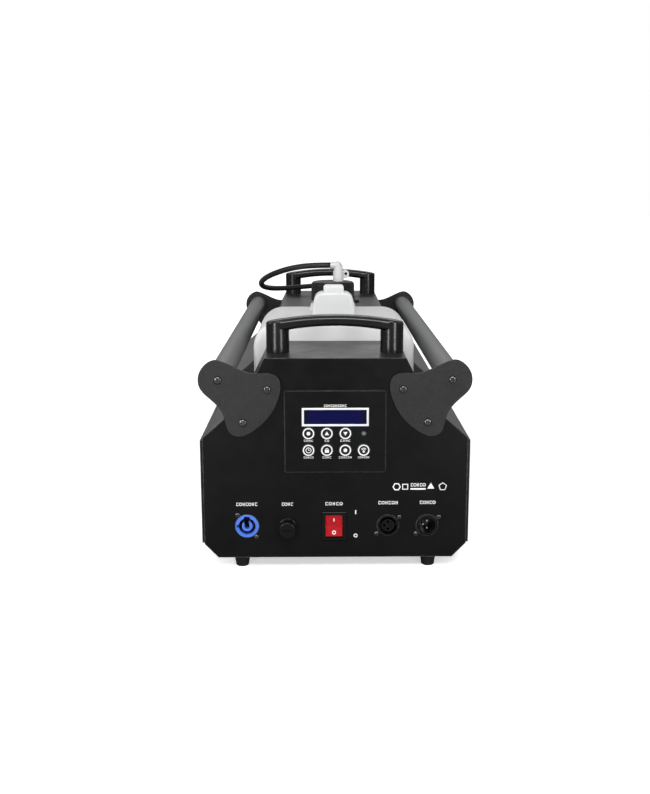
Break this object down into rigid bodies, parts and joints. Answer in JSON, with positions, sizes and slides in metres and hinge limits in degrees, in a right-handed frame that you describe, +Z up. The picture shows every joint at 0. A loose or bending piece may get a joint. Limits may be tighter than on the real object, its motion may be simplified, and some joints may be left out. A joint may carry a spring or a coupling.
{
  "type": "fog machine",
  "caption": "Fog machine with a control panel, two carrying handles, side rails on lobed brackets and a lift-out white fluid tank fed through a black hose.",
  "frame": {"origin": "on the floor, under the middle of the machine's box", "axes": "+Y from the control panel to the fog nozzle, +X to the operator's right, +Z up"},
  "size_m": [0.2822, 0.718, 0.31],
  "materials": {
    "panel_black": "fine texture powder coat",
    "hood_black": "fine texture powder coat",
    "cover_black": "fine texture powder coat",
    "bracket_black": "fine texture powder coat",
    "tube_black": "satin powder coat",
    "handle_black": "semi-gloss moulded plastic",
    "screw_black": "black oxide",
    "black_plastic": "fine moulded texture",
    "key_black": "satin",
    "frame_silver": "printed silver-lavender",
    "lcd_glass": "dark blue display glass",
    "board_green": "solder mask",
    "inlet_blue": "blue moulded nylon",
    "rocker_red": "translucent red",
    "pin_metal": "plated contacts",
    "fuse_glass": "glass fuse with plated ends",
    "aluminium": "cast and machined",
    "lagging": "glass fibre board",
    "brass": "machined",
    "pump_case": "zinc plated case",
    "tank_white": "translucent blow-moulded polyethylene",
    "cap_black": "ribbed moulded polypropylene",
    "coupling_white": "white acetal",
    "clear_tube": "translucent tube",
    "hose_black": "smooth black hose",
    "rubber_black": "moulded rubber"
  },
  "bodies": {
    "body": {"base_tray": "cover_black", "right_side_cover": "cover_black", "left_side_cover": "cover_black", "rear_panel": "panel_black", "front_panel": "panel_black", "rear_hood": "hood_black", "front_hood": "hood_black", "rear_bulkhead": "hood_black", "front_bulkhead": "hood_black", "tank_cradle": "panel_black", "bracket_rear_right": "bracket_black", "bracket_rear_left": "bracket_black", "bracket_front_right": "bracket_black", "bracket_front_left": "bracket_black", "right_side_tube": "tube_black", "left_side_tube": "tube_black", "tube_end_plugs": "black_plastic", "bracket_screws": "screw_black", "rear_handle": "handle_black", "front_handle": "handle_black", "rubber_feet": "rubber_black", "case_screws": "screw_black", "control_bezel": "panel_black", "display_frame": "frame_silver", "display_window": "lcd_glass", "control_board": "board_green", "power_inlet": "inlet_blue", "data_out_socket": "black_plastic", "data_in_shell": "black_plastic", "data_in_pins": "pin_metal", "connector_screws": "screw_black", "fuse_holder": "black_plastic", "switch_body": "black_plastic", "heater_block": "aluminium", "heater_insulation": "lagging", "nozzle": "brass", "pump_body": "pump_case", "relay_board": "board_green", "supply_tube": "clear_tube", "hose_gland": "rubber_black", "feed_hose": "hose_black"},
    "tank": {"tank_body": "tank_white", "cap_insert": "cap_black", "dip_tube": "clear_tube", "coupling_socket": "coupling_white", "coupling_elbow": "coupling_white"},
    "cap_ring": {"cap_ring": "cap_black"},
    "coupling_latch": {"coupling_latch": "coupling_white"},
    "fuse_carrier": {"fuse_carrier": "pin_metal", "fuse_link": "fuse_glass"},
    "fuse_cap": {"fuse_cap": "black_plastic"},
    "switch_rocker": {"switch_rocker": "rocker_red"},
    "pump_plunger": {"pump_plunger": "pin_metal"},
    "menu_key": {"menu_key": "key_black"},
    "up_key": {"up_key": "key_black"},
    "down_key": {"down_key": "key_black"},
    "timer_key": {"timer_key": "key_black"},
    "lock_key": {"lock_key": "key_black"},
    "manual_key": {"manual_key": "key_black"},
    "remote_key": {"remote_key": "key_black"}
  },
  "joints": [
    {"name": "tank_lift", "type": "slide", "parent": "body", "child": "tank", "axis": [0, 0, 1], "range_m": [0, 0.2], "deforming": ["feed_hose"]},
    {"name": "cap_turn", "type": "hinge", "parent": "tank", "child": "cap_ring", "pos_m": [0, -0.095, 0.27], "axis": [0, 0, 1], "continuous": true},
    {"name": "coupling_release", "type": "slide", "parent": "tank", "child": "coupling_latch", "axis": [-1, 0, 0], "range_m": [0, 0.0015], "stiffness_N_per_m": 900},
    {"name": "power_switch", "type": "hinge", "parent": "body", "child": "switch_rocker", "pos_m": [-0.0015, -0.3415, 0.0493], "axis": [1, 0, 0], "range_deg": [0, 14]},
    {"name": "fuse_pull", "type": "slide", "parent": "body", "child": "fuse_carrier", "axis": [0, -1, 0], "range_m": [0, 0.045]},
    {"name": "fuse_cap_turn", "type": "hinge", "parent": "fuse_carrier", "child": "fuse_cap", "pos_m": [-0.0505, -0.35, 0.0488], "axis": [0, -1, 0], "range_deg": [-60, 0]},
    {"name": "pump_stroke", "type": "slide", "parent": "body", "child": "pump_plunger", "axis": [0, 0, 1], "range_m": [0, 0.003], "stiffness_N_per_m": 1500, "springref_m": -0.001},
    {"name": "menu_press", "type": "slide", "parent": "body", "child": "menu_key", "axis": [0, 1, 0], "range_m": [0, 0.0005], "stiffness_N_per_m": 1200},
    {"name": "up_press", "type": "slide", "parent": "body", "child": "up_key", "axis": [0, 1, 0], "range_m": [0, 0.0005], "stiffness_N_per_m": 1200},
    {"name": "down_press", "type": "slide", "parent": "body", "child": "down_key", "axis": [0, 1, 0], "range_m": [0, 0.0005], "stiffness_N_per_m": 1200},
    {"name": "timer_press", "type": "slide", "parent": "body", "child": "timer_key", "axis": [0, 1, 0], "range_m": [0, 0.0005], "stiffness_N_per_m": 1200},
    {"name": "lock_press", "type": "slide", "parent": "body", "child": "lock_key", "axis": [0, 1, 0], "range_m": [0, 0.0005], "stiffness_N_per_m": 1200},
    {"name": "manual_press", "type": "slide", "parent": "body", "child": "manual_key", "axis": [0, 1, 0], "range_m": [0, 0.0005], "stiffness_N_per_m": 1200},
    {"name": "remote_press", "type": "slide", "parent": "body", "child": "remote_key", "axis": [0, 1, 0], "range_m": [0, 0.0005], "stiffness_N_per_m": 1200}
  ]
}
